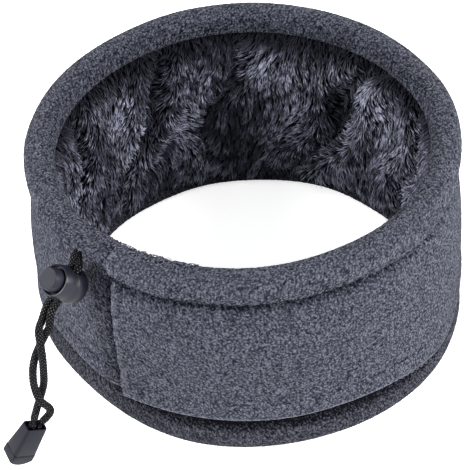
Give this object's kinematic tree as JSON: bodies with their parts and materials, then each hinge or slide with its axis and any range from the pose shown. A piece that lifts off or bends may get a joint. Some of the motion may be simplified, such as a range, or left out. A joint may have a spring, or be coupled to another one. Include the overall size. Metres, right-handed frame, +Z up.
{
  "type": "drawcord neck gaiter",
  "caption": "Fleece neck gaiter with a plush lining, a drawcord casing round the top, a bottom band, and a cord with a push-button lock and a cord end.",
  "frame": {"origin": "middle of the ring in the plane that its bottom band stands on", "axes": "+Z up through the neck opening; -Y is the front, and the cord lock hangs at the front left, towards -X and -Y"},
  "size_m": [0.183, 0.1718, 0.092],
  "materials": {
    "fleece": "short brushed nap",
    "band_fleece": "short brushed nap",
    "plush": "long soft pile",
    "thread": "spun sewing thread",
    "braid": "round braid",
    "lock_plastic": "satin moulded",
    "button_plastic": "satin moulded",
    "end_plastic": "fine textured moulded",
    "spring_steel": "drawn wire"
  },
  "bodies": {
    "gaiter": {"outer_shell": "fleece", "top_casing": "fleece", "bottom_band": "band_fleece", "plush_lining": "plush", "top_seam_thread": "thread", "bottom_seam_thread": "thread", "side_seam_thread": "thread", "drawcord_loop": "braid"},
    "drawcord": {"strand_left": "braid", "strand_right": "braid"},
    "cord_lock": {"lock_body": "lock_plastic", "lock_spring": "spring_steel"},
    "lock_button": {"lock_plunger": "button_plastic"},
    "cord_end": {"cord_end_shell": "end_plastic", "cord_end_lid": "end_plastic", "cord_knot": "braid"}
  },
  "joints": [
    {"name": "drawcord_swing", "type": "hinge", "parent": "gaiter", "child": "drawcord", "pos_m": [-0.06304, -0.05597, 0.0865], "axis": [-0.6018, 0.7986, 0], "range_deg": [0, 60]},
    {"name": "lock_slide", "type": "slide", "parent": "drawcord", "child": "cord_lock", "axis": [-0.5745, -0.4329, -0.6947], "range_m": [0, 0.005]},
    {"name": "button_press", "type": "slide", "parent": "cord_lock", "child": "lock_button", "axis": [0.5548, 0.4181, -0.7193], "range_m": [0, 0.003], "stiffness_N_per_m": 600, "springref_m": -0.003, "deforming": ["lock_spring"]},
    {"name": "cord_end_swing", "type": "hinge", "parent": "drawcord", "child": "cord_end", "pos_m": [-0.08406, -0.0825, 0.02277], "axis": [0.8829, 0, -0.4695], "range_deg": [-40, 40]}
  ]
}
